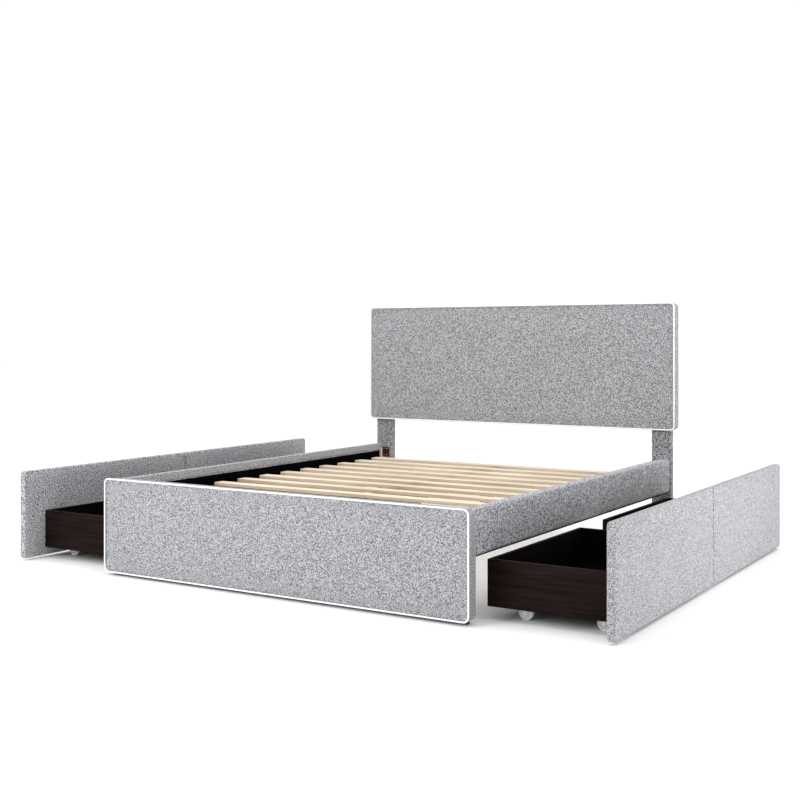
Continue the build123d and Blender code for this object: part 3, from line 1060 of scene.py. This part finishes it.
# ------------------------------------------------------------------ side rails
@dataclass
class RailCover:
    """Foam and cloth over a side rail, turned over its top and down its inner face.

    Attributes:
        side: 1 for the right rail, -1 for the left one.
        pad: cloth and foam outside and on top of the board.
        board: thickness of the board.
        wrap: thickness of the cloth that is turned down inside.
        wrap_drop: how far it comes down.
        end_round: corner radius at the head end.
        top_round: rounding of the outer long edges.
        give: how far the padding may swell.
        cell: size of the cloth's cells.
        turn: rounding of the turned-down edge.
    """

    side: int
    pad: float = 0.010
    board: float = 0.030
    wrap: float = 0.003
    wrap_drop: float = 0.035
    end_round: float = 0.020
    top_round: float = 0.009
    give: float = 0.004
    cell: float = 0.014
    turn: float = 0.002
    outer: float = field(init=False)
    top: float = field(init=False)
    bare: float = field(init=False)
    bottom: float = field(init=False)
    foot: float = field(init=False)
    head: float = field(init=False)
    fold: float = field(init=False)

    def __post_init__(self) -> None:
        """Takes the cover's limits from its node, less what it may swell by."""
        low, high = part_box("side_rail_covers")
        self.outer = high.x - self.give
        self.top = high.z - self.give
        self.bare = high.x - self.pad - self.board + EPS
        self.bottom, self.foot, self.head = low.z, low.y, high.y
        self.fold = high.z - self.wrap_drop

    def form(self) -> bpy.types.Object:
        """Models the cover of the right rail before it swells.

        Returns:
            The piece, in object mode.
        """
        name = "right_rail_upholstery" if self.side > 0 else "left_rail_upholstery"
        piece = start_cube(name, (self.bare, self.foot, self.bottom),
                           (self.outer, self.head, self.top))
        bpy.ops.object.mode_set(mode="EDIT")
        bevel(piece, lambda edge: edge_along(edge, Axis.X) and edge_at(edge, Axis.Y, self.head),
              self.end_round, CORNER_STEPS)
        bevel(piece, lambda edge: edge_at(edge, Axis.X, self.outer)
              and not edge_at(edge, Axis.Y, self.foot), self.top_round, 4)
        cut(piece, Axis.Z, self.fold)
        choose(piece, "faces", lambda face: face.normal.x < -0.99
               and face.calc_center_median().z > self.fold)
        bpy.ops.mesh.extrude_region_move(
            TRANSFORM_OT_translate={"value": (-(self.wrap + EPS), 0, 0)})
        inner = self.bare - self.wrap - EPS
        bevel(piece, lambda edge: edge_at(edge, Axis.X, inner)
              and all(vert.co.z > self.fold + EPS for vert in edge.verts)
              and not edge_at(edge, Axis.Y, self.foot), self.turn, 2)
        for place in (self.head - self.end_round, (self.head + self.foot) / 2,
                      (self.head + 3 * self.foot) / 4, (3 * self.head + self.foot) / 4):
            cut(piece, Axis.Y, place)
        for axis in (Axis.Y, Axis.Z, Axis.X):
            divide(piece, axis, self.cell)
        bpy.ops.object.mode_set(mode="OBJECT")
        return piece

    def reach(self, place: Vector) -> float:
        """How far the cover may move at a place.

        Args:
            place: the place.

        Returns:
            The distance, 0 where the cover is fixed.
        """
        if place.y < self.foot + EPS or place.x < self.bare + self.wrap:
            return 0.0
        if place.z < self.bottom + self.top_round:
            return 0.0
        return self.give

    def build(self, cloth: bpy.types.Material) -> bpy.types.Object:
        """Models, swells, mirrors if needed, and dresses the cover.

        Args:
            cloth: its cloth.

        Returns:
            The finished piece.
        """
        piece = self.form()
        swell(piece, self.reach)
        if self.side < 0:
            only(piece)
            bpy.ops.object.mode_set(mode="EDIT")
            bpy.ops.mesh.select_all(action="SELECT")
            bpy.ops.transform.mirror(constraint_axis=(True, False, False),
                                     center_override=(0, 0, 0))
            bpy.ops.mesh.normals_make_consistent(inside=False)
            bpy.ops.object.mode_set(mode="OBJECT")
        soften(piece)
        dress(piece, cloth, "grey_fabric", FRAME_BODY, "side_rail_covers")
        return piece


# ------------------------------------------------------------------ posts and the back
@dataclass
class PostSleeve:
    """Cloth pulled tight over a headboard post, with its spare bolt holes.

    Attributes:
        side: 1 for the right post, -1 for the left one.
        width: width over the cloth.
        round: rounding of the long edges.
        hole: radius of a spare hole.
        hole_inset: from the post's inner edge to the holes.
        hole_heights: heights of the holes.
        depth: depth of a hole.
    """

    side: int
    width: float = 0.092
    round: float = 0.003
    hole: float = 0.004
    hole_inset: float = 0.026
    hole_heights: tuple[float, ...] = (0.399, 0.436, 0.473)
    depth: float = 0.012

    def build(self, cloth: bpy.types.Material) -> bpy.types.Object:
        """Models the sleeve, drills it and dresses it.

        Args:
            cloth: its cloth.

        Returns:
            The finished piece.
        """
        low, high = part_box("post_covers")
        core_low, core_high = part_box("headboard_posts")
        sleeve = core_low.y - low.y
        inner = high.x - self.width
        span = sorted((self.side * inner, self.side * high.x))
        name = "right_post_sleeve" if self.side > 0 else "left_post_sleeve"
        piece = eased_block(name, (span[0], low.y, low.z),
                            (span[1], core_high.y + sleeve, high.z),
                            lambda edge: edge_along(edge, Axis.Z), self.round, 3)
        for height in self.hole_heights:
            bpy.ops.object.select_all(action="DESELECT")
            bpy.ops.mesh.primitive_cylinder_add(
                radius=self.hole, depth=2 * self.depth, vertices=20,
                location=(self.side * (inner + self.hole_inset), low.y, height),
                rotation=(math.pi / 2, 0, 0))
            drill = bpy.context.active_object
            only(piece)
            bpy.ops.object.modifier_add(type="BOOLEAN")
            drilled = piece.modifiers[-1]
            drilled.object = drill
            drilled.operation = "DIFFERENCE"
            bpy.ops.object.modifier_apply(modifier=drilled.name)
            bpy.data.objects.remove(drill)
        soften(piece, levels=0, angle=35.0)
        dress(piece, cloth, "grey_fabric", FRAME_BODY, "post_covers")
        return piece


@dataclass
class BackSheet:
    """A thin black cloth over the headboard's back, with a folded hem and staples.

    Attributes:
        thick: thickness of the cloth.
        hem: width of the folded hem.
        staple_pitch: distance between two staples.
        staple: length, width and height of a staple.
    """

    thick: float = 0.0006
    hem: float = 0.012
    staple_pitch: float = 0.075
    staple: Point = (0.011, 0.0012, 0.0012)

    def build(self, finishes: Finishes) -> bpy.types.Object:
        """Models the sheet and its staples.

        Args:
            finishes: the bed's finishes.

        Returns:
            The sheet.
        """
        low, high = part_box("headboard_back")
        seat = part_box("headboard_cover")[1].y
        bpy.ops.object.select_all(action="DESELECT")
        piece = start_cube("headboard_back_sheet", (low.x, seat + EPS, low.z),
                           (high.x, seat + EPS + self.thick, high.z))
        bpy.ops.object.mode_set(mode="EDIT")
        choose(piece, "faces", lambda face: face.normal.y > 0.9)
        bpy.ops.mesh.inset(thickness=self.hem)
        inner = (low.x + self.hem, high.x - self.hem, low.z + self.hem, high.z - self.hem)
        choose(piece, "faces", lambda face: face.normal.y > 0.9 and not (
            inner[0] < face.calc_center_median().x < inner[1]
            and inner[2] < face.calc_center_median().z < inner[3]))
        bpy.ops.mesh.extrude_region_move(TRANSFORM_OT_translate={"value": (0, self.thick, 0)})
        bpy.ops.object.mode_set(mode="OBJECT")
        soften(piece, levels=0, angle=30.0)
        dress(piece, finishes.backing, "backing_cloth", FRAME_BODY, "headboard_back")
        self.staples(low, high, seat + EPS + 2 * self.thick, finishes)
        return piece

    def staples(self, low: Vector, high: Vector, seat: float, finishes: Finishes) -> None:
        """Drives staples through the hem all round.

        Args:
            low: the sheet's lowest corner.
            high: the sheet's highest corner.
            seat: where the staples sit.
            finishes: the bed's finishes.
        """
        length, width, height = self.staple
        middle = self.hem / 2
        places = []
        count = int((high.x - low.x - 2 * self.hem) / self.staple_pitch)
        for number in range(count + 1):
            x = low.x + self.hem + (high.x - low.x - 2 * self.hem) * number / count
            places += [(x, low.z + middle, True), (x, high.z - middle, True)]
        count = int((high.z - low.z - 2 * self.hem) / self.staple_pitch)
        for number in range(1, count):
            z = low.z + self.hem + (high.z - low.z - 2 * self.hem) * number / count
            places += [(low.x + middle, z, False), (high.x - middle, z, False)]
        made = []
        for x, z, level in places:
            half = (length / 2, width / 2) if level else (width / 2, length / 2)
            made.append(eased_block(
                "staple", (x - half[0], seat - height / 2, z - half[1]),
                (x + half[0], seat + height / 2, z + half[1]),
                lambda edge: edge_at(edge, Axis.Y, seat + height / 2), height / 3, 2))
        dress(joined(made, "back_sheet_staples"), finishes.zinc, "zinc_steel", FRAME_BODY)


# ------------------------------------------------------------------ drawers
@dataclass
class DrawerBox:
    """The four stained boards of a drawer's box, with eased edges and painted shade on their inner
    faces.

    Attributes:
        drawer: the drawer's name.
        wall: thickness of the boards.
        ease: rounding of their edges.
    """

    drawer: str
    wall: float = 0.015
    ease: float = 0.0012

    def build(self, finishes: Finishes) -> bpy.types.Object:
        """Models the boards as one piece and dresses them.

        Args:
            finishes: the bed's finishes.

        Returns:
            The finished piece.
        """
        node = f"{self.drawer}_box_walls"
        low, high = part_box(node)
        spans = (
            (low.x, high.x, low.y, low.y + self.wall),
            (low.x, high.x, high.y - self.wall, high.y),
            (low.x, low.x + self.wall, low.y + self.wall, high.y - self.wall),
            (high.x - self.wall, high.x, low.y + self.wall, high.y - self.wall),
        )
        boards = [eased_block("board", (x0, y0, low.z), (x1, y1, high.z),
                              lambda edge: True, self.ease, 2)
                  for x0, x1, y0, y1 in spans]
        piece = joined(boards, f"{self.drawer}_box")
        soften(piece, levels=0, angle=40.0)
        dress(piece, finishes.espresso, "espresso_wood", f"{self.drawer}_drawer", node)
        # painted shade: the upright faces that look into the box take the darker copy of the stain
        piece.data.materials.append(finishes.box_inside_shade)
        middle = (low + high) / 2
        for face in piece.data.polygons:
            inward = middle - face.center
            inward.z = 0.0
            if face.normal.dot(inward) > 0 and abs(face.normal.z) < UPRIGHT:
                face.material_index = 1
        return piece


def dress_nodes(finishes: Finishes) -> None:
    """Gives every carried-over node its finish.

    Args:
        finishes: the bed's finishes.
    """
    table = {
        "headboard_board": finishes.raw, "headboard_frame": finishes.raw,
        "headboard_posts": finishes.raw, "footboard_board": finishes.raw,
        "side_rail_boards": finishes.black, "rail_end_blocks": finishes.raw,
        "corner_brackets": finishes.bracket, "bracket_screws": finishes.zinc,
        "slat_ledges": finishes.black, "slats": finishes.pine, "centre_beam": finishes.black,
        "centre_legs": finishes.black, "floor_glides": finishes.glide,
    }
    for drawer in DRAWERS:
        table[f"{drawer}_front_board"] = finishes.raw
        # the box's floor takes the darker copy as well: painted shade inside the box
        table[f"{drawer}_box_bottom"] = finishes.box_inside_shade
        table[f"{drawer}_caster_frames"] = finishes.caster
        table[f"{drawer}_caster_axles"] = finishes.zinc
        for reach in ("inner", "outer"):
            for end in ("near", "far"):
                table[f"{drawer}_wheel_{reach}_{end}"] = finishes.wheel
    for name, material in table.items():
        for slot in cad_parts[name].material_slots:
            slot.material = material
        log.info("%s: %s", name, material.name)


# ------------------------------------------------------------------ studio
@dataclass(frozen=True)
class Softbox:
    """A square soft light.

    Attributes:
        name: its name.
        place: where it hangs.
        aim: the point that it faces.
        size: its side.
        power: its power in watts.
    """

    name: str
    place: Point
    aim: Point
    size: float
    power: float

    def hang(self) -> None:
        """Adds the light to the scene."""
        data = bpy.data.lights.new(self.name, "AREA")
        data.shape = "SQUARE"
        data.size = self.size
        data.energy = self.power
        lamp = bpy.data.objects.new(self.name, data)
        bpy.context.scene.collection.objects.link(lamp)
        lamp.location = self.place
        heading = Vector(self.aim) - Vector(self.place)
        lamp.rotation_euler = heading.to_track_quat("-Z", "Y").to_euler()


@dataclass
class Studio:
    """The floor, the lights and the camera.

    Attributes:
        floor_size: side of the square floor.
        floor_tone: its lightness.
        sky: strength of the even light from all round.
        softboxes: its lights.
        eye: where the camera stands.
        turn: its heading in degrees, to the left of straight ahead.
        lens: focal length in millimetres, on a 36 mm sensor.
        shift: how far the frame is moved off the axis.
    """

    floor_size: float = 80.0
    floor_tone: float = 0.92
    sky: float = 1.1
    softboxes: tuple[Softbox, ...] = (
        Softbox("key_softbox", (-1.4, -5.0, 2.3), (0.0, -0.9, 0.3), 2.2, 105.0),
        Softbox("side_softbox", (3.4, 0.3, 0.5), (1.3, 0.0, 0.25), 0.9, 33.0),
        Softbox("top_softbox", (0.3, 0.2, 4.2), (0.0, 0.2, 0.3), 4.0, 60.0),
    )
    eye: Point = (2.636, -4.677, 0.951)
    turn: float = 33.591
    lens: float = 54.42
    shift: tuple[float, float] = (0.09375, -0.07497)

    def build(self) -> None:
        """Builds the floor, the lights and the camera."""
        self.floor()
        for softbox in self.softboxes:
            softbox.hang()
        world = bpy.data.worlds.new("studio")
        bpy.context.scene.world = world
        world.use_nodes = True
        sky = world.node_tree.nodes["Background"]
        sky.inputs["Color"].default_value = (1, 1, 1, 1)
        sky.inputs["Strength"].default_value = self.sky
        data = bpy.data.cameras.new("view")
        data.lens = self.lens
        data.sensor_width = 36.0
        data.shift_x, data.shift_y = self.shift
        camera = bpy.data.objects.new("view", data)
        bpy.context.scene.collection.objects.link(camera)
        camera.location = self.eye
        camera.rotation_euler = (math.pi / 2, 0, math.radians(self.turn))
        bpy.context.scene.camera = camera
        bpy.context.scene.view_settings.view_transform = "Standard"

    def floor(self) -> None:
        """Lays a plain pale floor."""
        bpy.ops.object.select_all(action="DESELECT")
        bpy.ops.mesh.primitive_plane_add(size=self.floor_size, location=(0, 0, 0))
        floor = bpy.context.active_object
        floor.name = "studio_floor"
        shader = Shader("studio_floor")
        shader.set(Base_Color=(*grey(self.floor_tone), 1), Roughness=0.9, Specular_IOR_Level=0.0)
        floor.data.materials.append(shader.material)


# ------------------------------------------------------------------ the whole bed
def main() -> None:
    """Builds the bed round its frame, piece by piece."""
    logging.basicConfig(level=logging.INFO, format="%(name)s: %(message)s")
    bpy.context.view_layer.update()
    finishes = Finishes()
    dress_nodes(finishes)

    PaddedSlab("headboard_upholstery", "headboard_cover", FRAME_BODY, Axis.Y,
               corners=(0.020, 0.020), edge=0.004, face_give=(0.006, 0.0),
               side_give=0.002).build(finishes.head_cloth)
    PaddedSlab("footboard_upholstery", "footboard_cover", FRAME_BODY, Axis.Y,
               corners=(0.020, 0.020), edge=0.004, face_give=(0.005, 0.0),
               side_give=0.002).build(finishes.cloth)
    Piping("headboard_piping_cord", "headboard_piping").build(finishes)
    Piping("footboard_piping_cord", "footboard_piping").build(finishes)
    for side in (1, -1):
        # the rails take the shaded copy of the cloth: painted shade
        RailCover(side).build(finishes.shaded_cloth)
        # the posts' cloth is darker: painted shade under the headboard
        PostSleeve(side).build(finishes.post_shade_cloth)
    BackSheet().build(finishes)
    for drawer in DRAWERS:
        corners = (0.016, 0.006) if drawer.endswith("foot") else (0.006, 0.016)
        # the left drawer fronts, which lie in shade, take the shaded copy of the cloth: painted
        # shade
        cloth = finishes.front_cloth if drawer.startswith("right") else finishes.shaded_cloth
        PaddedSlab(f"{drawer}_front_upholstery", f"{drawer}_front_cover", f"{drawer}_drawer",
                   Axis.X, corners, edge=0.005, face_give=(0.002, 0.002), side_give=0.0,
                   wave=0.0005).build(cloth)
        DrawerBox(drawer).build(finishes)
    Studio().build()


if __name__ == "__main__":
    main()
